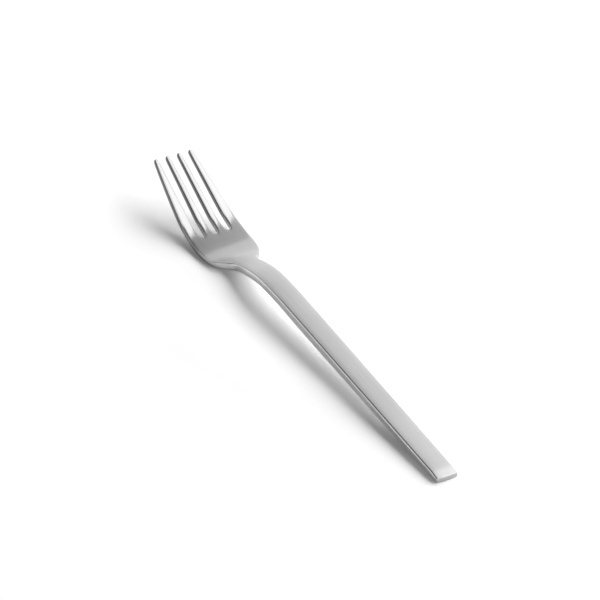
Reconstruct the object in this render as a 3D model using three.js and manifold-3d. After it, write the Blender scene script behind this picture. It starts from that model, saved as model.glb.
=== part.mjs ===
// Table fork, pressed from one blank of stainless steel: a flat bar handle, an arched neck,
// a palm with rounded shoulders and four tapered tines.
// Millimetres. +X runs from the handle end to the tine tips, +Z up from the table.

import * as THREE from 'three';
import { mergeVertices } from 'three/addons/utils/BufferGeometryUtils.js';
import Module from 'manifold-3d';

// Lengths along the fork
const LENGTH = 201.1; // handle end to tine tips, measured along the table
const CREST_TO_TIPS = 80.6; // top of the arch to the tips
const HEEL_TO_TIPS = 44.3; // point of the palm that rests on the table to the tips
const HEAD_LENGTH = 59; // start of the shoulders to the tips
const SHOULDER_LENGTH = 16.5; // start of the shoulders to the full width of the palm
const FLARE_TO_TIPS = 30.1; // where the outer edges turn in towards the tips
const SLOT_LENGTH = 34.2; // bottom of the gaps between the tines to the tips

// Widths
const END_WIDTH = 8.2; // handle at its end
const NECK_WIDTH = 8.9; // handle at the arch, and the neck
const HEAD_WIDTH = 21.9; // widest part of the palm
const TIP_SPREAD = 15.9; // across the outer tips
const TIP_WIDTH = 1.6; // one tine at its tip
const SLOT_WIDTH = 3.0; // gap between two tines at its round bottom
const SLOT_PITCH = 5.3; // gap to gap at their bottoms
const TINE_COUNT = 4;

// Plan curves
const END_BOW = 0.35; // how far the handle end bulges
const END_CORNER = 0.8; // rounding of the handle end's corners
const NECK_EASE = 7; // reach of the hollow curve from the neck into the shoulder
const SHOULDER_EASE = 11; // reach of the round curve from the shoulder into the palm's side

// Heights and thicknesses
const CREST_HEIGHT = 9.45; // top of the arch above the table
const END_THICKNESS = 2.25; // handle at its end
const HANDLE_THICKNESS = 3.85; // handle where it starts to arch
const CREST_THICKNESS = 3.35; // at the top of the arch
const PALM_THICKNESS = 2.0; // at the heel
const ROOT_THICKNESS = 2.7; // tine where it runs straight
const TIP_THICKNESS = 1.8; // tine at its tip

// Side curves
const CREST_RADIUS = 250; // handle side of the arch, on top
const CREST_EASE = 16.5; // reach of the arch into the neck, on top
const THROAT_EASE = 11.4; // reach of the palm into the neck, on top
const UNDER_CREST_EASE = 16; // reach of the arch into the neck, underneath
const UNDER_THROAT_EASE = 13; // reach of the heel into the neck, underneath
const UNDER_HANDLE_EASE = 9; // reach of the arch into the handle, underneath
const THICK_TO_CREST = 20; // thickest place of the handle to the top of the arch
const BOWL_RADIUS = 44; // hollow of the palm where it turns up into the tines
const TINE_ANGLE = THREE.MathUtils.degToRad(27.5); // rise of the straight tines
const HEEL_LAND = 5; // flat under the heel
const END_LAND = 14; // flat under the handle end
const END_ROLL = 3.8; // stretch of the handle top that is rolled down at the end
const END_ROLL_DROP = 0.4; // how far it is rolled down
const END_ROUND = 0.35; // rounding under the handle end

// Facets on each curve, and how far the cutting blanks overlap the fork
const CURVE_SEGMENTS = 14;
const OVERLAP = 1;

// Places along X
const endX = -LENGTH / 2;
const tipX = LENGTH / 2;
const crestX = tipX - CREST_TO_TIPS;
const heelX = tipX - HEEL_TO_TIPS;
const shoulderX = tipX - HEAD_LENGTH;

const along = (point, direction, distance) => point.clone().addScaledVector(direction, distance);

// Straight top of the handle: the tangent from the handle end to the back of the arch
function handleTop() {
  const end = new THREE.Vector2(endX, END_THICKNESS);
  const toCentre = new THREE.Vector2(crestX, CREST_HEIGHT - CREST_RADIUS).sub(end);
  const angle = toCentre.angle() - 2 * Math.PI + Math.asin(CREST_RADIUS / toCentre.length());
  const run = Math.sqrt(toCentre.lengthSq() - CREST_RADIUS ** 2);
  const direction = new THREE.Vector2(Math.cos(angle), Math.sin(angle));
  return { end, angle, direction, tangent: along(end, direction, run) };
}

// Side view of the fork, X along the table and Y up, closed around the steel
function sideProfile() {
  const top = handleTop();
  const rollStart = along(top.end, top.direction, END_ROLL / Math.cos(top.angle));
  const endTop = top.end.y - END_ROLL_DROP;
  const bowlCentre = new THREE.Vector2(heelX, PALM_THICKNESS + BOWL_RADIUS);

  // Straight part of the tines, and the round nose at the tips
  const rise = new THREE.Vector2(Math.cos(TINE_ANGLE), Math.sin(TINE_ANGLE));
  const outward = new THREE.Vector2(-rise.y, rise.x);
  const tineStart = along(bowlCentre, outward, -BOWL_RADIUS);
  const noseRadius = TIP_THICKNESS / 2;
  const noseLine = along(tineStart, outward, -noseRadius);
  const nose = along(noseLine, rise, (tipX - noseRadius - noseLine.x) / rise.x);

  // Underside of the tines, and where its line would meet the table
  const underRoot = along(tineStart, outward, -ROOT_THICKNESS);
  const underTip = along(nose, outward, -noseRadius);
  const underRise = underTip.clone().sub(underRoot);
  const tableMeet = underRoot.x - (underRoot.y * underRise.x) / underRise.y;

  // Underside of the handle
  const heelFront = heelX + HEEL_LAND / 2;
  const heelBack = heelX - HEEL_LAND / 2;
  const thickX = crestX - THICK_TO_CREST;
  const thickTop = top.end.y + (thickX - endX) * Math.tan(top.angle);
  const thick = new THREE.Vector2(thickX, thickTop - HANDLE_THICKNESS);
  const underCrest = CREST_HEIGHT - CREST_THICKNESS;
  const landEnd = endX + END_ROUND + END_LAND;
  const underSlope = thick.y / (thick.x - landEnd);

  const side = new THREE.Shape();
  side.moveTo(endX, endTop);
  side.quadraticCurveTo(
    (endX + rollStart.x) / 2, (top.end.y + rollStart.y) / 2,
    rollStart.x, rollStart.y,
  );
  side.lineTo(top.tangent.x, top.tangent.y);
  side.absarc(
    crestX, CREST_HEIGHT - CREST_RADIUS, CREST_RADIUS,
    Math.PI / 2 + top.angle, Math.PI / 2, true,
  );
  side.bezierCurveTo(
    crestX + CREST_EASE, CREST_HEIGHT,
    heelX - THROAT_EASE, PALM_THICKNESS,
    heelX, PALM_THICKNESS,
  );
  side.absarc(bowlCentre.x, bowlCentre.y, BOWL_RADIUS, -Math.PI / 2, TINE_ANGLE - Math.PI / 2, false);
  side.absarc(nose.x, nose.y, noseRadius, TINE_ANGLE + Math.PI / 2, TINE_ANGLE - Math.PI / 2, true);
  side.lineTo(underRoot.x, underRoot.y);
  side.quadraticCurveTo(tableMeet, 0, heelFront, 0);
  side.lineTo(heelBack, 0);
  side.bezierCurveTo(
    heelBack - UNDER_THROAT_EASE, 0,
    crestX + UNDER_CREST_EASE, underCrest,
    crestX, underCrest,
  );
  side.bezierCurveTo(
    crestX - UNDER_HANDLE_EASE, underCrest,
    thick.x + UNDER_HANDLE_EASE, thick.y + UNDER_HANDLE_EASE * underSlope,
    thick.x, thick.y,
  );
  side.lineTo(landEnd, 0);
  side.lineTo(endX + END_ROUND, 0);
  side.quadraticCurveTo(endX, 0, endX, END_ROUND);
  side.closePath();
  return side;
}

// Plan view of the fork, drawn once round from the handle end, with its right side first
function planOutline() {
  const palmX = shoulderX + SHOULDER_LENGTH;
  const halfEnd = END_WIDTH / 2;
  const halfNeck = NECK_WIDTH / 2;
  const halfHead = HEAD_WIDTH / 2;
  const halfSpread = TIP_SPREAD / 2;
  const tipRadius = TIP_WIDTH / 2;
  const tipCentreX = tipX - tipRadius;
  const tipPitch = (TIP_SPREAD - TIP_WIDTH) / (TINE_COUNT - 1);
  const slotRadius = SLOT_WIDTH / 2;
  const slotX = tipX - SLOT_LENGTH + slotRadius;
  const flareX = tipX - FLARE_TO_TIPS;
  const tineY = (index) => tipPitch * (index - (TINE_COUNT - 1) / 2);
  const slotY = (index) => SLOT_PITCH * (index - (TINE_COUNT - 2) / 2);

  const plan = new THREE.Shape();
  plan.moveTo(endX, 0);
  plan.quadraticCurveTo(endX, END_CORNER - halfEnd, endX + END_BOW, END_CORNER - halfEnd);
  plan.quadraticCurveTo(endX + END_BOW, -halfEnd, endX + END_BOW + END_CORNER, -halfEnd);
  plan.lineTo(crestX, -halfNeck);
  plan.lineTo(shoulderX, -halfNeck);
  plan.bezierCurveTo(shoulderX + NECK_EASE, -halfNeck, palmX - SHOULDER_EASE, -halfHead, palmX, -halfHead);
  plan.quadraticCurveTo(flareX, -halfHead, tipCentreX, -halfSpread);
  for (let index = 0; index < TINE_COUNT; index += 1) {
    plan.absarc(tipCentreX, tineY(index), tipRadius, -Math.PI / 2, Math.PI / 2, false);
    if (index < TINE_COUNT - 1) {
      plan.absarc(slotX, slotY(index), slotRadius, -Math.PI / 2, Math.PI / 2, true);
    }
  }
  plan.quadraticCurveTo(flareX, halfHead, palmX, halfHead);
  plan.bezierCurveTo(palmX - SHOULDER_EASE, halfHead, shoulderX + NECK_EASE, halfNeck, shoulderX, halfNeck);
  plan.lineTo(crestX, halfNeck);
  plan.lineTo(endX + END_BOW + END_CORNER, halfEnd);
  plan.quadraticCurveTo(endX + END_BOW, halfEnd, endX + END_BOW, halfEnd - END_CORNER);
  plan.quadraticCurveTo(endX, halfEnd - END_CORNER, endX, 0);
  return plan;
}

// Side view swept across the widest part of the head
function profileBlank() {
  const depth = Math.max(HEAD_WIDTH, TIP_SPREAD, NECK_WIDTH, END_WIDTH) + 2 * OVERLAP;
  const geometry = new THREE.ExtrudeGeometry(sideProfile(), {
    depth, bevelEnabled: false, curveSegments: CURVE_SEGMENTS,
  });
  geometry.rotateX(Math.PI / 2);
  geometry.translate(0, depth / 2, 0);
  return geometry;
}

// Plan view raised past the highest point of the side view
function planBlank(height) {
  const geometry = new THREE.ExtrudeGeometry(planOutline(), {
    depth: height + 2 * OVERLAP, bevelEnabled: false, curveSegments: CURVE_SEGMENTS,
  });
  geometry.translate(0, 0, -OVERLAP);
  return geometry;
}

const wasm = await Module();
wasm.setup();

function toSolid(geometry) {
  const bare = geometry.clone();
  bare.deleteAttribute('normal');
  bare.deleteAttribute('uv');
  const merged = mergeVertices(bare);
  return new wasm.Manifold(new wasm.Mesh({
    numProp: 3,
    vertProperties: new Float32Array(merged.attributes.position.array),
    triVerts: new Uint32Array(merged.index.array),
  }));
}

function toGeometry(solid) {
  const { vertProperties, triVerts } = solid.getMesh();
  const geometry = new THREE.BufferGeometry();
  geometry.setAttribute('position', new THREE.BufferAttribute(new Float32Array(vertProperties), 3));
  geometry.setIndex(new THREE.BufferAttribute(new Uint32Array(triVerts), 1));
  const faceted = geometry.toNonIndexed();
  faceted.computeVertexNormals();
  return faceted;
}

// The fork is the steel that both views share
function forkGeometry() {
  const profile = profileBlank();
  profile.computeBoundingBox();
  const plan = planBlank(profile.boundingBox.max.z);
  return toGeometry(toSolid(profile).intersect(toSolid(plan)));
}

const satinSteel = new THREE.MeshStandardMaterial({ color: 0xc6c6c4, roughness: 0.32, metalness: 1 });

const fork = new THREE.Mesh(forkGeometry(), satinSteel);
fork.name = 'fork';

const tableFork = new THREE.Group();
tableFork.add(fork);

export default tableFork;
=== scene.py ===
import math

import bmesh
import bpy
import numpy as np
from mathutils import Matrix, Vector
from mathutils.geometry import interpolate_bezier


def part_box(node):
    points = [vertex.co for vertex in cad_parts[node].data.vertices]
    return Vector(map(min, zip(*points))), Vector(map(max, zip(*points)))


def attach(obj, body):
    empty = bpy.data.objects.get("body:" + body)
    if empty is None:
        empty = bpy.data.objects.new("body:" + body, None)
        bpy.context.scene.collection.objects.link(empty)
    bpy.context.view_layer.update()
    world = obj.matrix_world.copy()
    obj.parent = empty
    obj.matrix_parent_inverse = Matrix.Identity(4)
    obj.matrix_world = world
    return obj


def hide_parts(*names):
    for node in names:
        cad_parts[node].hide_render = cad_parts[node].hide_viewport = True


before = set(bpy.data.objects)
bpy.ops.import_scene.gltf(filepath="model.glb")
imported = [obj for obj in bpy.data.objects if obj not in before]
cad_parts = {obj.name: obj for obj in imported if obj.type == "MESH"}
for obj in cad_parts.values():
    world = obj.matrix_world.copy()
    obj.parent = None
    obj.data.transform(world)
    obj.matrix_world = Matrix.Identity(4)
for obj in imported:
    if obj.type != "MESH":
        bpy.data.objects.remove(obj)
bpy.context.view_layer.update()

# Places along the fork, in metres; X runs from the handle end to the tips
MM = 0.001
LOW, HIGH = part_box("fork")
END_X = LOW.x
TIP_X = HIGH.x
CREST_X = TIP_X - 80.6 * MM  # top of the arch
HEEL_X = TIP_X - 44.3 * MM  # point of the palm that touches the table
SHOULDER_X = TIP_X - 59 * MM  # where the neck starts to widen
PALM_X = SHOULDER_X + 16.5 * MM  # where the palm has its full width
FLARE_X = TIP_X - 24 * MM  # where the outer edges turn in towards the tips
SLOT_X = TIP_X - 33 * MM  # centres of the round bottoms of the gaps

# Half widths across the fork
END_HALF = 4.1 * MM
NECK_HALF = 4.45 * MM
PALM_HALF = HIGH.y
TIP_SPREAD_HALF = 7.95 * MM
TIP_HALF = 0.9 * MM
TIP_LEAN = 0.4 * MM  # the tips stand a little to the left
SLOT_HALF = 1.25 * MM
SLOT_ROUND = SLOT_HALF * math.sqrt(0.5)  # half way round a gap's bottom
SLOT_DEPTH = 1.1  # a gap's bottom is a little deeper than a half circle
SLOT_PITCH = 5.3 * MM
TINES = 4
TIP_PITCH = 2 * (TIP_SPREAD_HALF - TIP_HALF) / (TINES - 1)
NECK_EASE = 7 * MM
SHOULDER_EASE = 11 * MM
END_BOW = 0.35 * MM

# Cross lines of the blank
HANDLE_LINES = (0, 1, 2.6, 4.2, 6, 10, 14.4, 26, 40, 55, 70, 86, 98, 107, 114)  # mm from the end
NECK_LINES = 6
SHOULDER_LINES = 8
PALM_LINES = (PALM_X + 2.8 * MM, PALM_X + 5.4 * MM, SLOT_X)
TINE_LINES = (0, 0.07, 0.18, 0.34, 0.52, 0.7, 0.86, 1)  # shares of a tine's length
TIP_STEPS = ((0.48 * MM, 0.84), (0.4 * MM, 0.62))  # lengths of the closing tip, shares of width left

# Side view: heights of the top face, and its curves
END_HEIGHT = 2.25 * MM
CREST_HEIGHT = 9.45 * MM
HEEL_HEIGHT = 2.0 * MM
CREST_RADIUS = 250 * MM
CREST_EASE = 16.5 * MM
THROAT_EASE = 11.4 * MM
BOWL_RADIUS = 44 * MM
TINE_RISE = math.radians(27.5)
END_ROLL = 4.2 * MM
END_ROLL_DROP = 0.42 * MM
END_ROLL_POWER = 1.15
LINE_SAMPLES = 200
LINE_RESOLUTION = 64

# Crown of the top face
CROWN = 0.26 * MM  # how far the face falls away from its middle line to its edges
CROWN_MIDDLE = 0.5  # share of the crown that stands above the side line
CROWN_POWER = 3  # flat in the middle, falling faster towards the edges
HEAD_CROWN_FADE = 0.86  # share of the crown that is left from one cross line of the head to the next
TINE_CROWN_FADE = 0.55  # the same along a tine
TIP_SETTLE = -0.03 * MM  # height that the crown fades to

# Thickness under the top face, and the places where it changes
THICKNESS = {
    "end": 2.25 * MM,
    "end land": 3.14 * MM,
    "handle": 3.84 * MM,
    "crest": 3.35 * MM,
    "neck": 3.2 * MM,
    "shoulder": 3.06 * MM,
    "palm": 2.53 * MM,
    "heel back": 2.03 * MM,
    "heel": 1.92 * MM,
    "heel front": 2.0 * MM,
    "gaps": 2.3 * MM,
    "root": 2.65 * MM,
    "tip": 1.85 * MM,
}
END_LAND = 14.35 * MM  # stretch of the handle end that lies flat on the table
HANDLE_THICK_X = CREST_X - 20 * MM
NECK_THIN_X = CREST_X + 16 * MM
SHOULDER_THIN_X = SHOULDER_X + 2.2 * MM
PALM_THIN_X = SHOULDER_X + 8.2 * MM
HEEL_LAND_HALF = 2.5 * MM

# Easing of the edges, and the places where it changes
TOP_EASE = 0.45 * MM
PALM_TOP_EASE = 0.24 * MM
UNDER_EASE = 0.4 * MM
END_UNDER_EASE = 0.2 * MM
TINE_TOP_EASE = 0.8 * MM
TINE_UNDER_EASE = 0.35 * MM
NOSE_EASE = 0.45 * MM
WIDEST_EASE = max(TOP_EASE, UNDER_EASE, TINE_TOP_EASE, TINE_UNDER_EASE)
END_EASE_X = END_X + MM
HANDLE_EASE_X = END_X + 8 * MM
PALM_EASE_X = HEEL_X - 4 * MM
ROOT_EASE_X = SLOT_X + 3 * MM
TINE_EASE_X = SLOT_X + 13 * MM
NOSE_EASE_RUN = 6 * MM
EASE_SEGMENTS = 2
SUBDIVISIONS = 2

# Limits for telling places and faces apart
NEAR = 0.02 * MM
LINE_DECIMALS = 9
FLAT_LEAN = 0.7  # a face that leans further than this is a side
HALVINGS = 40

# Steel: tones, painted light and shade on some of its faces, and the places along X or lengths of steel
# over which they change
STEEL_DARK = (0.68, 0.68, 0.678, 1)
STEEL_BRIGHT = (0.76, 0.76, 0.758, 1)
TONE_SPREAD = (0.6, 1.4)
RIM_LEAN = (0.985, 0.90)
SIDE_LEAN = (0.75, 0.25)
POLISH_X = (SHOULDER_X, PALM_X)
# Painted light on the top face, standing in for reflections: the handle top a little darker, the neck
# top lighter, the head top as it is
HANDLE_TOP_PAINTED_SHADE = 0.95
NECK_TOP_PAINTED_LIGHT = 1.17
NECK_TOP_LIGHT_X = (CREST_X - 70 * MM, CREST_X)
HEAD_TOP_PAINTED_LIGHT = 1
HEAD_TOP_LIGHT_X = (CREST_X + 2 * MM, SHOULDER_X - 3 * MM)
# Painted shade: the end face is painted darker
END_FACE_PAINTED_SHADE = 0.58
END_FACE = (0.6 * MM, 1.6 * MM)
# Painted light on the sides: lighter on the handle's side towards the end, a little darker elsewhere
LOW_SIDE_PAINTED_LIGHT = 1.14
SIDE_PAINTED_SHADE = 0.95
LOW_SIDE = (30 * MM, 62 * MM)
# Painted light: the side of the neck is painted lighter
NECK_SIDE_PAINTED_LIGHT = 1.25
NECK_SIDE_X = (CREST_X, SHOULDER_X - 3 * MM)
# Painted shade: the sides of the palm are painted darker
PALM_SIDE_PAINTED_SHADE = 0.6
PALM_SIDE_X = (SHOULDER_X - MM, SHOULDER_X + 5 * MM)
# Painted shade: the sides of the tines are painted much darker, standing in for dark reflections
TINE_SIDE_PAINTED_SHADE = 0.21
TINE_SIDE_X = (SLOT_X + MM, SLOT_X + 8 * MM)
ROLL_ROUGHNESS = 0.3
SATIN_ROUGHNESS = 0.42
END_SHEEN = (3 * MM, 6 * MM)
POLISHED_ROUGHNESS = 0.14
RIM_ROUGHNESS = 0.13

# Brushing of the steel: how often it repeats along, across and through the blank
FINE_BRUSHING = (120, 9000, 9000)
FINE_DETAIL = 3.0
LONG_BRUSHING = (25, 2600, 2600)
LONG_DETAIL = 2.0
CLOUD_SCALE = 55.0
CLOUD_DETAIL = 2.0
GRAIN_SPREAD = (0.3, 0.7)
GRAIN_ROUGHNESS = 0.03
GRAIN_STRENGTH = 0.25
GRAIN_HEIGHT = 0.004 * MM

# Sockets of a Mix node that mixes colours
MIX_SHARE, MIX_FIRST, MIX_SECOND, MIX_RESULT = 0, 6, 7, 2

# Camera of the photograph
VIEW_CENTRE = Vector((17.5, -8.15, 0)) * MM
VIEW_DISTANCE = 1351.3 * MM
VIEW_TURN = math.radians(28.634)
VIEW_RISE = math.radians(34.173)
VIEW_LENS = 226.8
VIEW_AHEAD = Vector((math.cos(VIEW_TURN), -math.sin(VIEW_TURN), -math.tan(VIEW_RISE))).normalized()

# Room, floor and lamps
WHITE = (1, 1, 1, 1)
AMBIENT = 0.065
ROOM_TONE = 0.92
FLOOR_PAINT = (0.95, 0.95, 0.95, 1)
FLOOR_LIFT = 0.08
FLOOR_RADIUS = 2.5
FLOOR_SIDES = 96
FLOOR_CLEAR = 0.45  # distance past which the floor is plain white
FLOOR_FADE = 0.5  # share of that distance at which it starts to fade
LAMP_DISTANCE = 1.5
WINDOW = {"turn": -99, "rise": 38.5, "wide": 5.0, "high": 1.0, "light": 5.0}
LOW_STRIP = {"turn": -88, "rise": 9, "wide": 1.7, "high": 0.16, "light": 31}

# Cards that the steel mirrors; corners and tones run in the order of CARD_CORNERS
CARD_CORNERS = ("Low right", "Low left", "High left", "High right")
CARD_DISTANCE = 0.3
CARD_ACROSS = Vector((0.07, 0.07, 0))
HEEL_CARD_X = (HEEL_X - 5.5 * MM, HEEL_X + 1.6 * MM)
HEEL_TONES = (1.1, 0.42, 0.36, 1.04)
PALM_CARD_X = (HEEL_X + 1.6 * MM, SLOT_X + 1.6 * MM)
PALM_TONES = (0.84, 0.13, 0.0, 0.92)
LEFT_CARD = ((0.55, -0.02, 0), (0.1, 0.8, 0), (0.1, 0.8, 0.6), (0.55, -0.02, 0.6))
LEFT_TONES = (0.45, 0.03, 0.05, 0.5)
HIGH_CARD = ((0.6, 0.8, 0.6), (-0.35, 0.8, 0.6), (-0.2, 0.2, 0.8), (0.4, 0.2, 0.8))
HIGH_TONES = (0.08, 0.08, 0.08, 0.08)
RIM_CARD = ((0.42, -0.16, 0.42), (0.42, 0.30, 0.42), (0.13, 0.30, 0.42), (0.13, -0.12, 0.42))
RIM_TONES = (0.2, 0.05, 0.05, 0.25)
WHITE_CARD = ((-0.6, -0.85, 0.35), (0.5, -0.85, 0.35), (0.5, -0.2, 0.75), (-0.6, -0.2, 0.75))
WHITE_TONES = (1.34, 1.34, 1.34, 1.34)


def arc_reach(radius, angle):
    """Handle length of a Bezier stretch that follows an arc."""
    return 4 / 3 * math.tan(angle / 4) * radius


def flat_place(x, z):
    """Place on the fork's middle plane."""
    return Vector((x, 0, z))


def side_line():
    """Top of the fork seen from the side, as Bezier knots: place, handle before, handle after."""
    end = flat_place(END_X, END_HEIGHT)
    crest = flat_place(CREST_X, CREST_HEIGHT)
    heel = flat_place(HEEL_X, HEEL_HEIGHT)
    to_centre = crest - flat_place(0, CREST_RADIUS) - end
    rise = math.asin(CREST_RADIUS / to_centre.length) + math.atan2(to_centre.z, to_centre.x)
    run = math.sqrt(to_centre.length_squared - CREST_RADIUS**2)
    along_handle = flat_place(math.cos(rise), math.sin(rise))
    arch_start = end + along_handle * run
    arch_reach = arc_reach(CREST_RADIUS, rise)
    bowl_reach = arc_reach(BOWL_RADIUS, TINE_RISE)
    along_tine = flat_place(math.cos(TINE_RISE), math.sin(TINE_RISE))
    root = heel + BOWL_RADIUS * flat_place(math.sin(TINE_RISE), 1 - math.cos(TINE_RISE))
    nose = THICKNESS["tip"] * math.sin(TINE_RISE) - NOSE_EASE / 2
    tip = root + along_tine * (TIP_X - nose - root.x) / along_tine.x
    ahead = flat_place(1, 0)
    return [
        (end, end, end.lerp(arch_start, 1 / 3)),
        (arch_start, arch_start.lerp(end, 1 / 3), arch_start + along_handle * arch_reach),
        (crest, crest - ahead * arch_reach, crest + ahead * CREST_EASE),
        (heel, heel - ahead * THROAT_EASE, heel + ahead * bowl_reach),
        (root, root - along_tine * bowl_reach, root.lerp(tip, 1 / 3)),
        (tip, tip.lerp(root, 1 / 3), tip),
    ]


def line_places(knots):
    """Close-set places along the side line."""
    places = []
    for (start, _, after), (stop, before, _) in zip(knots, knots[1:]):
        places += interpolate_bezier(start, after, before, stop, LINE_SAMPLES)
    return places


KNOTS = side_line()
ROOT_X = KNOTS[4][0].x
NOSE_X = KNOTS[5][0].x
PLACES = line_places(KNOTS)
LINE_X = [place.x for place in PLACES]
LINE_Z = [place.z for place in PLACES]
LINE_STEEL = np.cumsum([0.0] + [(b - a).length for a, b in zip(PLACES, PLACES[1:])])


def top_at(x):
    """Height of the top face at a place along X."""
    return float(np.interp(x, LINE_X, LINE_Z))


def steel_at(x):
    """Length of steel from the handle end to a place along X."""
    return float(np.interp(x, LINE_X, LINE_STEEL))


def on_steel(places):
    """Places along X as lengths of steel from the handle end."""
    return [steel_at(x) for x in places]


def bezier_at(stops, share):
    """Point of a plan curve of any order at a share of its run."""
    while len(stops) > 1:
        stops = [a.lerp(b, share) for a, b in zip(stops, stops[1:])]
    return stops[0]


def shoulder_at(share):
    """X and half width at a share of the way from the neck to the palm."""
    neck = Vector((SHOULDER_X, NECK_HALF))
    palm = Vector((PALM_X, PALM_HALF))
    after_neck = neck + Vector((NECK_EASE, 0))
    before_palm = palm - Vector((SHOULDER_EASE, 0))
    return bezier_at([neck, after_neck, before_palm, palm], share)


def outer_edge_half(x):
    """Half width of the head past the palm."""
    palm = Vector((PALM_X, PALM_HALF))
    tip = Vector((TIP_X - TIP_HALF, TIP_SPREAD_HALF))
    low, high = 0.0, 1.0
    for _ in range(HALVINGS):
        share = (low + high) / 2
        place = bezier_at([palm, Vector((FLARE_X, PALM_HALF)), tip], share)
        low, high = (share, high) if place.x < x else (low, share)
    return place.y


def body_rows():
    """Cross lines of the blank from the handle end to the bottoms of the gaps: X and half width."""
    places = [END_X + step * MM for step in HANDLE_LINES]
    places += [CREST_X + (SHOULDER_X - CREST_X) * k / NECK_LINES for k in range(NECK_LINES + 1)]
    taper = (NECK_HALF - END_HALF) / (CREST_X - END_X)
    rows = [(x, min(END_HALF + taper * (x - END_X), NECK_HALF)) for x in places]
    rows += [tuple(shoulder_at(k / SHOULDER_LINES)) for k in range(1, SHOULDER_LINES + 1)]
    rows += [(x, outer_edge_half(x)) for x in PALM_LINES]
    return rows


def tine_rows():
    """Cross lines of a tine, along X."""
    return [SLOT_X + (NOSE_X - TIP_HALF - SLOT_X) * share for share in TINE_LINES]


def tine_sides(index, x):
    """Lower and higher Y of a tine at a place along X."""
    run = (x - SLOT_X) / (TIP_X - TIP_HALF - SLOT_X)
    tip_y = TIP_PITCH * (index - (TINES - 1) / 2) + TIP_LEAN
    low_slot = SLOT_PITCH * (index - TINES / 2) + SLOT_HALF
    high_slot = SLOT_PITCH * (index + 1 - TINES / 2) - SLOT_HALF
    low = low_slot + (tip_y - TIP_HALF - low_slot) * run
    high = high_slot + (tip_y + TIP_HALF - high_slot) * run
    if index == 0:
        low = TIP_LEAN * run - outer_edge_half(x)
    if index == TINES - 1:
        high = TIP_LEAN * run + outer_edge_half(x)
    return low, high


def slot_middles():
    """Y of the middle of each gap at its bottom."""
    return [SLOT_PITCH * (slot - (TINES - 2) / 2) for slot in range(TINES - 1)]


def column_shares():
    """Places of the lengthwise lines, as shares of the half width at the gaps."""
    lines = set()
    for middle in slot_middles():
        for step in (-SLOT_HALF, -SLOT_ROUND, 0, SLOT_ROUND, SLOT_HALF):
            lines.add(round(middle + step, LINE_DECIMALS))
    for index in range(TINES):
        low, high = tine_sides(index, SLOT_X)
        for line in (low, (low + high) / 2, high):
            lines.add(round(line, LINE_DECIMALS))
    half = outer_edge_half(SLOT_X)
    return [line / half for line in sorted(lines)]


def thickness_at(x):
    """Thickness of the plate at a place along X."""
    stops = (
        (END_X, "end"),
        (END_X + END_LAND, "end land"),
        (HANDLE_THICK_X, "handle"),
        (CREST_X, "crest"),
        (NECK_THIN_X, "neck"),
        (SHOULDER_THIN_X, "shoulder"),
        (PALM_THIN_X, "palm"),
        (HEEL_X - HEEL_LAND_HALF, "heel back"),
        (HEEL_X, "heel"),
        (HEEL_X + HEEL_LAND_HALF, "heel front"),
        (SLOT_X, "gaps"),
        (ROOT_X, "root"),
        (TIP_X, "tip"),
    )
    return float(np.interp(x, [place for place, _ in stops], [THICKNESS[name] for _, name in stops]))


def pick(test):
    """Selects the corners that pass the test, with the edges and faces between them."""
    mesh = bpy.context.edit_object.data
    steel = bmesh.from_edit_mesh(mesh)
    for corner in steel.verts:
        corner.select = test(corner.co)
    steel.select_flush_mode()
    bmesh.update_edit_mesh(mesh)


def move(x=0, y=0, z=0):
    """Moves what is selected."""
    bpy.ops.transform.translate(value=(x, y, z))


def draw_out(x=0, y=0, z=0):
    """Extrudes what is selected."""
    bpy.ops.mesh.extrude_region_move(TRANSFORM_OT_translate={"value": (x, y, z)})


def widen(share, middle, crown=1):
    """Scales what is selected across the fork, and its crown in height."""
    bpy.ops.transform.resize(value=(1, share, crown), center_override=middle)


def lay_out_body(rows, shares):
    """Draws the handle, neck and palm out of one small plane, first across and then along."""
    first, second = steel_at(rows[0][0]), steel_at(rows[1][0])
    lines = [share * rows[0][1] for share in shares]
    bpy.ops.mesh.primitive_plane_add(size=1)
    blank = bpy.context.object
    bpy.ops.object.mode_set(mode="EDIT")
    bpy.ops.mesh.select_mode(type="VERT")
    bpy.ops.transform.resize(value=(second - first, lines[1] - lines[0], 1), center_override=(0, 0, 0))
    move((first + second) / 2, (lines[0] + lines[1]) / 2)
    for near, far in zip(lines[1:], lines[2:]):
        pick(lambda p: abs(p.y - near) < NEAR)
        draw_out(y=far - near)
    for share, line in zip(shares, lines):
        pick(lambda p: abs(p.y - line) < NEAR)
        move(z=CROWN * (CROWN_MIDDLE - abs(share) ** CROWN_POWER))
    pick(lambda p: abs(p.x - second) < NEAR)
    widen(rows[1][1] / rows[0][1], (second, 0, 0))
    for (x, half), (next_x, next_half) in zip(rows[1:], rows[2:]):
        draw_out(x=steel_at(next_x) - steel_at(x))
        crown = HEAD_CROWN_FADE if x > SHOULDER_X - NEAR else 1
        widen(next_half / half, (steel_at(next_x), 0, 0), crown)
    return blank


def round_slot_bottoms():
    """Pulls the gaps' end lines back into rounds."""
    gap = steel_at(SLOT_X)
    for middle in slot_middles():
        for step, back in ((0, SLOT_HALF), (SLOT_ROUND, SLOT_ROUND)):
            pick(lambda p: abs(p.x - gap) < NEAR and abs(abs(p.y - middle) - step) < NEAR)
            move(x=-back * SLOT_DEPTH)


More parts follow.
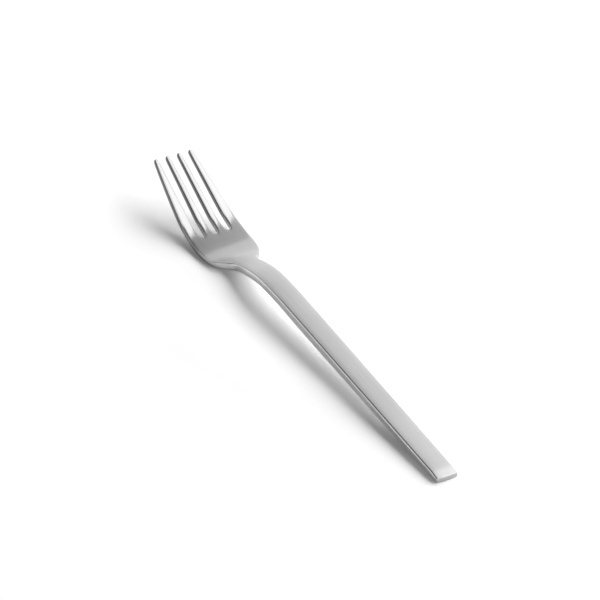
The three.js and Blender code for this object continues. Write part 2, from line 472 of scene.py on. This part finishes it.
def draw_tine(index):
    """Draws one tine out of the palm and closes in its tip."""
    rows = tine_rows()
    low, high = tine_sides(index, rows[0])
    gap = steel_at(rows[0])
    pick(lambda p: abs(p.x - gap) < NEAR and low - NEAR < p.y < high + NEAR)
    for x, next_x in zip(rows, rows[1:]):
        low, high = tine_sides(index, x)
        next_low, next_high = tine_sides(index, next_x)
        middle = (next_low + next_high) / 2
        share = (next_high - next_low) / (high - low)
        draw_out(x=steel_at(next_x) - steel_at(x), y=middle - (low + high) / 2)
        widen(share, (steel_at(next_x), middle, TIP_SETTLE), TINE_CROWN_FADE)
    for step, share in TIP_STEPS:
        draw_out(x=step)
        widen(share, (0, middle, 0))


def bow_end():
    """Bows the handle end in plan."""
    for share in column_shares():
        pick(lambda p: p.x < NEAR and abs(p.y - share * END_HALF) < NEAR)
        move(x=END_BOW * share**2)


def give_thickness(rows):
    """Draws the flat blank down into a plate and sets its thickness from line to line."""
    base = THICKNESS["end"]
    bpy.ops.mesh.select_all(action="SELECT")
    draw_out(z=-base)
    places = on_steel(rows)
    last = places[-1] + sum(step for step, _ in TIP_STEPS)
    limits = [-MM] + [(a + b) / 2 for a, b in zip(places, places[1:])] + [last + MM]
    for x, low, high in zip(rows, limits, limits[1:]):
        pick(lambda p: p.z < -base / 2 and low < p.x <= high)
        bpy.ops.transform.resize(value=(1, 1, 0), center_override=(0, 0, -base))
        move(z=base - thickness_at(x))
    bpy.ops.mesh.select_all(action="SELECT")
    bpy.ops.mesh.normals_make_consistent(inside=False)


def roll_end():
    """Rolls the top face down at the handle end."""
    low = -MM
    for x, _ in body_rows():
        reach = steel_at(x)
        if reach < END_ROLL:
            high = reach + END_BOW + NEAR if low < 0 else reach + NEAR
            pick(lambda p: p.z > -CROWN and low < p.x < high)
            move(z=-END_ROLL_DROP * (1 - reach / END_ROLL) ** END_ROLL_POWER)
            low = high


def rim_edges(steel, top):
    """Edges where the top face, or the underside, meets the sides."""
    def is_face(face):
        return face.normal.z > FLAT_LEAN if top else face.normal.z < -FLAT_LEAN

    return [edge for edge in steel.edges if sum(is_face(face) for face in edge.link_faces) == 1]


def mark_eases():
    """Sets how much each rim edge is eased: tight on the palm, rounder on the tines' top."""
    handle = (END_EASE_X, HANDLE_EASE_X, SHOULDER_X)
    head = (PALM_EASE_X, ROOT_EASE_X, TINE_EASE_X, NOSE_X - NOSE_EASE_RUN, NOSE_X)
    stops = on_steel(handle + head)
    mesh = bpy.context.edit_object.data
    steel = bmesh.from_edit_mesh(mesh)
    weight = steel.edges.layers.float.new("bevel_weight_edge")
    eases = (
        (True, TOP_EASE, TOP_EASE, PALM_TOP_EASE, TINE_TOP_EASE),
        (False, END_UNDER_EASE, UNDER_EASE, UNDER_EASE, TINE_UNDER_EASE),
    )
    for top, end, bar, palm, tine in eases:
        for edge in rim_edges(steel, top):
            x = (edge.verts[0].co.x + edge.verts[1].co.x) / 2
            ease = np.interp(x, stops, (end, bar, bar, palm, palm, tine, tine, NOSE_EASE))
            edge[weight] = ease / WIDEST_EASE
    bmesh.update_edit_mesh(mesh)


def note_blank(piece):
    """Keeps each corner's place on the flat blank, and if it faces up (1), aside (0) or down (-1)."""
    mesh = piece.data
    place = mesh.attributes.new("blank_place", "FLOAT_VECTOR", "POINT")
    place.data.foreach_set("vector", [value for corner in mesh.vertices for value in corner.co])
    lean = mesh.attributes.new("lean", "FLOAT", "POINT")
    lean.data.foreach_set("value", [normal.vector.z for normal in mesh.vertex_normals])


def apply_modifier(piece, kind, **settings):
    """Gives the piece a modifier and applies it."""
    modifier = piece.modifiers.new(kind.lower(), kind)
    for name, value in settings.items():
        setattr(modifier, name, value)
    bpy.ops.object.modifier_apply(modifier=modifier.name)


def press_line():
    """The line that the flat blank is pressed along."""
    bpy.ops.curve.primitive_bezier_curve_add()
    line = bpy.context.object
    line.data.resolution_u = LINE_RESOLUTION
    line.data.use_deform_bounds = False
    line.data.twist_mode = "Z_UP"
    points = line.data.splines[0].bezier_points
    points.add(len(KNOTS) - len(points))
    for point, (place, before, after) in zip(points, KNOTS):
        point.handle_left_type = point.handle_right_type = "FREE"
        point.co, point.handle_left, point.handle_right = place, before, after
    return line


def make_fork():
    """Draws the blank, gives it thickness and eased edges, and presses it along the side line."""
    rows = body_rows()
    bpy.ops.object.select_all(action="DESELECT")
    fork = lay_out_body(rows, column_shares())
    fork.name = fork.data.name = "pressed_fork"
    round_slot_bottoms()
    for index in range(TINES):
        draw_tine(index)
    bow_end()
    give_thickness([x for x, _ in rows] + tine_rows()[1:])
    roll_end()
    mark_eases()
    bpy.ops.object.mode_set(mode="OBJECT")
    apply_modifier(
        fork,
        "BEVEL",
        limit_method="WEIGHT",
        width=WIDEST_EASE,
        segments=EASE_SEGMENTS,
        use_clamp_overlap=False,
    )
    apply_modifier(fork, "SUBSURF", levels=SUBDIVISIONS, render_levels=SUBDIVISIONS)
    note_blank(fork)
    line = press_line()
    bpy.ops.object.select_all(action="DESELECT")
    fork.select_set(True)
    bpy.context.view_layer.objects.active = fork
    apply_modifier(fork, "CURVE", object=line, deform_axis="POS_X")
    bpy.data.objects.remove(line)
    bpy.ops.object.shade_smooth()
    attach(fork, "root")
    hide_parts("fork")
    return fork


def add_node(tree, kind, place, **settings):
    """Puts a node into a tree, with its settings."""
    node = tree.nodes.new(kind)
    node.location = place
    for name, value in settings.items():
        setattr(node, name, value)
    return node


def feed(tree, socket, value):
    """Sets a socket to a number, or links it to another node's output."""
    if isinstance(value, (int, float)):
        socket.default_value = value
    else:
        tree.links.new(value, socket)


def ramp(tree, place, value, from_low, from_high, to_low=0.0, to_high=1.0, soft=False):
    """Map Range node from a value, with its ends; returns its output."""
    node = add_node(tree, "ShaderNodeMapRange", place)
    if soft:
        node.interpolation_type = "SMOOTHSTEP"
    feed(tree, node.inputs["Value"], value)
    feed(tree, node.inputs["From Min"], from_low)
    feed(tree, node.inputs["From Max"], from_high)
    feed(tree, node.inputs["To Min"], to_low)
    feed(tree, node.inputs["To Max"], to_high)
    return node.outputs["Result"]


def reckon(tree, place, operation, first, second):
    """Math node between two values; returns its output."""
    node = add_node(tree, "ShaderNodeMath", place, operation=operation)
    feed(tree, node.inputs[0], first)
    feed(tree, node.inputs[1], second)
    return node.outputs[0]


def streaks(tree, place, blank, scale, detail):
    """Noise drawn out along the steel."""
    stretch = add_node(tree, "ShaderNodeMapping", place)
    stretch.inputs["Scale"].default_value = scale
    tree.links.new(blank, stretch.inputs["Vector"])
    noise = add_node(tree, "ShaderNodeTexNoise", (place[0] + 200, place[1]))
    noise.inputs["Scale"].default_value = 1.0
    noise.inputs["Detail"].default_value = detail
    tree.links.new(stretch.outputs["Vector"], noise.inputs["Vector"])
    return noise.outputs["Fac"]


def satin_steel():
    """Steel brushed along its length: satin handle and neck, smoother palm and tines, burnished rims;
    its colour carries painted reflections, lighter on the neck top and some sides, darker on the end
    face and the palm and tine sides.
    """
    material = bpy.data.materials.new("satin_steel")
    material.use_nodes = True
    tree = material.node_tree
    shader = tree.nodes["Principled BSDF"]
    shader.inputs["Metallic"].default_value = 1.0
    join = tree.links.new

    place = add_node(tree, "ShaderNodeAttribute", (-1800, 200), attribute_name="blank_place")
    blank = place.outputs["Vector"]
    split = add_node(tree, "ShaderNodeSeparateXYZ", (-1600, 500))
    join(blank, split.inputs[0])
    along = split.outputs["X"]
    lean_note = add_node(tree, "ShaderNodeAttribute", (-1800, -500), attribute_name="lean")
    lean = reckon(tree, (-1600, -500), "ABSOLUTE", lean_note.outputs["Fac"], 0)
    polish = ramp(tree, (-1400, 500), along, *on_steel(POLISH_X), soft=True)
    rim = ramp(tree, (-1400, -500), lean, *RIM_LEAN, soft=True)
    side = ramp(tree, (-1400, -800), lean, *SIDE_LEAN, soft=True)

    fine = streaks(tree, (-1600, 100), blank, FINE_BRUSHING, FINE_DETAIL)
    coarse = streaks(tree, (-1600, -200), blank, LONG_BRUSHING, LONG_DETAIL)
    cloud = add_node(tree, "ShaderNodeTexNoise", (-1400, 800))
    cloud.inputs["Scale"].default_value = CLOUD_SCALE
    cloud.inputs["Detail"].default_value = CLOUD_DETAIL
    join(blank, cloud.inputs["Vector"])
    blend = reckon(tree, (-1100, 600), "ADD", cloud.outputs["Fac"], coarse)
    tone = add_node(tree, "ShaderNodeMix", (-700, 500), data_type="RGBA")
    tone.inputs[MIX_FIRST].default_value = STEEL_DARK
    tone.inputs[MIX_SECOND].default_value = STEEL_BRIGHT
    join(ramp(tree, (-900, 600), blend, *TONE_SPREAD), tone.inputs[MIX_SHARE])

    def blend_along(place, stretch, low, high, soft=False):
        """Value that goes from low to high over a stretch of the blank."""
        return ramp(tree, place, along, *stretch, low, high, soft)

    # Painted light and shade on the sides: lighter low on the handle and on the neck, darker on the end
    # face, the palm and the tines
    low_side_painted_light = blend_along((-1700, 300), LOW_SIDE, LOW_SIDE_PAINTED_LIGHT, SIDE_PAINTED_SHADE)
    end_face_painted_shade = blend_along((-1500, 300), END_FACE, END_FACE_PAINTED_SHADE, low_side_painted_light)
    neck_side_painted_light = blend_along((-1300, 300), on_steel(NECK_SIDE_X), end_face_painted_shade, NECK_SIDE_PAINTED_LIGHT)
    palm_side_painted_shade = blend_along((-1100, 300), on_steel(PALM_SIDE_X), neck_side_painted_light, PALM_SIDE_PAINTED_SHADE, True)
    side_painted_shade = blend_along((-900, 300), on_steel(TINE_SIDE_X), palm_side_painted_shade, TINE_SIDE_PAINTED_SHADE, True)
    # Painted light on the top face, lighter on the neck
    handle_top_painted_light = blend_along((-1100, 100), on_steel(NECK_TOP_LIGHT_X), HANDLE_TOP_PAINTED_SHADE, NECK_TOP_PAINTED_LIGHT)
    top_painted_light = blend_along((-900, 100), on_steel(HEAD_TOP_LIGHT_X), handle_top_painted_light, HEAD_TOP_PAINTED_LIGHT)
    # The steel's tone is scaled by the painted light and shade of the top face or of the sides
    shade = add_node(tree, "ShaderNodeVectorMath", (-400, 500), operation="SCALE")
    join(tone.outputs[MIX_RESULT], shade.inputs[0])
    join(ramp(tree, (-700, 200), side, 0, 1, top_painted_light, side_painted_shade), shade.inputs["Scale"])
    join(shade.outputs[0], shader.inputs["Base Color"])

    satin = blend_along((-1200, 0), END_SHEEN, ROLL_ROUGHNESS, SATIN_ROUGHNESS)
    face = ramp(tree, (-1000, 0), polish, 0, 1, satin, POLISHED_ROUGHNESS)
    rubbed = ramp(tree, (-800, 0), rim, 0, 1, face, RIM_ROUGHNESS)
    grain = ramp(tree, (-1000, -250), fine, *GRAIN_SPREAD, -GRAIN_ROUGHNESS, GRAIN_ROUGHNESS)
    join(reckon(tree, (-500, 0), "ADD", rubbed, grain), shader.inputs["Roughness"])

    bump = add_node(tree, "ShaderNodeBump", (-400, -300))
    bump.inputs["Strength"].default_value = GRAIN_STRENGTH
    bump.inputs["Distance"].default_value = GRAIN_HEIGHT
    join(fine, bump.inputs["Height"])
    join(bump.outputs["Normal"], shader.inputs["Normal"])
    return material


def background_share(tree):
    """1 on what the camera, reflections and glass see, 0 on the light that falls on things."""
    path = add_node(tree, "ShaderNodeLightPath", (-1100, 300)).outputs
    seen = reckon(tree, (-900, 300), "MAXIMUM", path["Is Camera Ray"], path["Is Glossy Ray"])
    return reckon(tree, (-700, 300), "MAXIMUM", seen, path["Is Transmission Ray"])


def white_room():
    """White behind the fork; a little dimmer where the steel mirrors it, and dim as a light."""
    world = bpy.data.worlds.new("white_room")
    bpy.context.scene.world = world
    world.use_nodes = True
    world.cycles.sampling_method = "NONE"
    tree = world.node_tree
    backdrop = tree.nodes["Background"]
    backdrop.inputs["Color"].default_value = WHITE
    strength = ramp(tree, (-500, 300), background_share(tree), 0, 1, AMBIENT, 1)
    path = add_node(tree, "ShaderNodeLightPath", (-700, 0))
    room = ramp(tree, (-300, 300), path.outputs["Is Glossy Ray"], 0, 1, strength, ROOM_TONE)
    tree.links.new(room, backdrop.inputs["Strength"])


def white_floor():
    """Round white floor that keeps the fork's shadow and fades into the white room."""
    bpy.ops.mesh.primitive_circle_add(vertices=FLOOR_SIDES, radius=FLOOR_RADIUS, fill_type="NGON")
    floor = bpy.context.object
    floor.name = "floor"
    material = bpy.data.materials.new("white_floor")
    material.cycles.emission_sampling = "NONE"
    material.use_nodes = True
    tree = material.node_tree
    join = tree.links.new
    tree.nodes.remove(tree.nodes["Principled BSDF"])
    paint = add_node(tree, "ShaderNodeBsdfDiffuse", (-300, 200))
    paint.inputs["Color"].default_value = FLOOR_PAINT
    seen = background_share(tree)
    glow = add_node(tree, "ShaderNodeEmission", (-300, 0))
    join(reckon(tree, (-500, 0), "MULTIPLY", seen, FLOOR_LIFT), glow.inputs["Strength"])
    lit = add_node(tree, "ShaderNodeAddShader", (0, 100))
    join(paint.outputs[0], lit.inputs[0])
    join(glow.outputs[0], lit.inputs[1])

    far = add_node(tree, "ShaderNodeEmission", (0, -200))
    place = add_node(tree, "ShaderNodeTexCoord", (-900, -300))
    reach = add_node(tree, "ShaderNodeVectorMath", (-700, -300), operation="LENGTH")
    join(place.outputs["Object"], reach.inputs[0])
    fade_start = FLOOR_CLEAR * FLOOR_FADE
    fade = ramp(tree, (-500, -300), reach.outputs["Value"], fade_start, FLOOR_CLEAR, soft=True)
    total = add_node(tree, "ShaderNodeMixShader", (200, 0))
    join(reckon(tree, (-200, -300), "MULTIPLY", fade, seen), total.inputs[0])
    join(lit.outputs[0], total.inputs[1])
    join(far.outputs[0], total.inputs[2])
    join(total.outputs[0], tree.nodes["Material Output"].inputs["Surface"])
    floor.data.materials.append(material)


def floor_lamp(name, turn, rise, wide, high, light):
    """Soft lamp on the right that gives the fork its shadow; the steel doesn't mirror it."""
    level = math.cos(math.radians(rise))
    way = Vector((
        level * math.cos(math.radians(turn)),
        level * math.sin(math.radians(turn)),
        math.sin(math.radians(rise)),
    ))
    bpy.ops.object.light_add(type="AREA", location=way * LAMP_DISTANCE)
    lamp = bpy.context.object
    lamp.name = name
    lamp.rotation_euler = way.to_track_quat("Z", "Y").to_euler()
    lamp.data.shape = "RECTANGLE"
    lamp.data.size = wide
    lamp.data.size_y = high
    lamp.data.energy = light * math.pi * wide * high
    lamp.visible_camera = False
    lamp.visible_glossy = False


def mirror_place(x):
    """Place in the studio that the top of the fork mirrors to the camera at X."""
    rise = (top_at(x + MM) - top_at(x - MM)) / (2 * MM)
    normal = Vector((-rise, 0, 1)).normalized()
    return Vector((x, 0, top_at(x))) + CARD_DISTANCE * VIEW_AHEAD.reflect(normal)


def card_tones():
    """Node group that spreads the tones of a card's four corners over it."""
    group = bpy.data.node_groups.new("card_tones", "ShaderNodeTree")
    for corner in CARD_CORNERS:
        group.interface.new_socket(corner, in_out="INPUT", socket_type="NodeSocketFloat")
    group.interface.new_socket("Tone", in_out="OUTPUT", socket_type="NodeSocketFloat")
    given = add_node(group, "NodeGroupInput", (-700, -200)).outputs
    place = add_node(group, "ShaderNodeTexCoord", (-900, 100))
    split = add_node(group, "ShaderNodeSeparateXYZ", (-700, 100))
    group.links.new(place.outputs["UV"], split.inputs[0])
    low = ramp(group, (-500, -200), split.outputs["X"], 0, 1, given["Low right"], given["Low left"])
    high = ramp(group, (-500, 200), split.outputs["X"], 0, 1, given["High right"], given["High left"])
    tone = ramp(group, (-300, 0), split.outputs["Y"], 0, 1, low, high)
    result = add_node(group, "NodeGroupOutput", (-100, 0))
    group.links.new(tone, result.inputs["Tone"])
    return group


def card(name, corners, tones, graded):
    """Grey card that only the steel mirrors."""
    bpy.ops.mesh.primitive_plane_add(size=2)
    board = bpy.context.object
    board.name = name
    bpy.ops.object.mode_set(mode="EDIT")
    bpy.ops.mesh.select_mode(type="VERT")
    for (x, y), corner in zip(((-1, -1), (1, -1), (1, 1), (-1, 1)), corners):
        pick(lambda p: abs(p.x - x) < NEAR and abs(p.y - y) < NEAR and abs(p.z) < NEAR)
        move(*(Vector(corner) - Vector((x, y, 0))))
    bpy.ops.object.mode_set(mode="OBJECT")
    material = bpy.data.materials.new(name)
    material.cycles.emission_sampling = "NONE"
    material.use_nodes = True
    tree = material.node_tree
    tree.nodes.remove(tree.nodes["Principled BSDF"])
    shade = add_node(tree, "ShaderNodeGroup", (-300, 0), node_tree=graded)
    for corner, tone in zip(CARD_CORNERS, tones):
        shade.inputs[corner].default_value = tone
    glow = add_node(tree, "ShaderNodeEmission", (-100, 0))
    tree.links.new(shade.outputs["Tone"], glow.inputs["Strength"])
    tree.links.new(glow.outputs[0], tree.nodes["Material Output"].inputs["Surface"])
    board.data.materials.append(material)
    board.visible_camera = False
    board.visible_diffuse = False
    board.visible_shadow = False


def shade_card(name, places, tones, graded):
    """Card that shades the top of the fork between two places along X."""
    low, high = [mirror_place(x) for x in places]
    corners = [low - CARD_ACROSS, low + CARD_ACROSS, high + CARD_ACROSS, high - CARD_ACROSS]
    card(name, corners, tones, graded)


def cards():
    """Cards for the heel and the palm, dark ones for the left rims, a white one for the tines."""
    graded = card_tones()
    shade_card("heel_card", HEEL_CARD_X, HEEL_TONES, graded)
    shade_card("palm_card", PALM_CARD_X, PALM_TONES, graded)
    card("left_card", LEFT_CARD, LEFT_TONES, graded)
    card("high_card", HIGH_CARD, HIGH_TONES, graded)
    card("rim_card", RIM_CARD, RIM_TONES, graded)
    card("white_card", WHITE_CARD, WHITE_TONES, graded)


def aim_camera():
    """Camera at the photograph's place."""
    bpy.ops.object.camera_add(location=VIEW_CENTRE - VIEW_AHEAD * VIEW_DISTANCE)
    camera = bpy.context.object
    camera.rotation_euler = VIEW_AHEAD.to_track_quat("-Z", "Y").to_euler()
    camera.data.lens = VIEW_LENS
    bpy.context.scene.camera = camera


fork = make_fork()
fork.data.materials.append(satin_steel())
white_room()
white_floor()
floor_lamp("window", **WINDOW)
floor_lamp("low_strip", **LOW_STRIP)
cards()
aim_camera()
bpy.context.scene.view_settings.view_transform = "Standard"
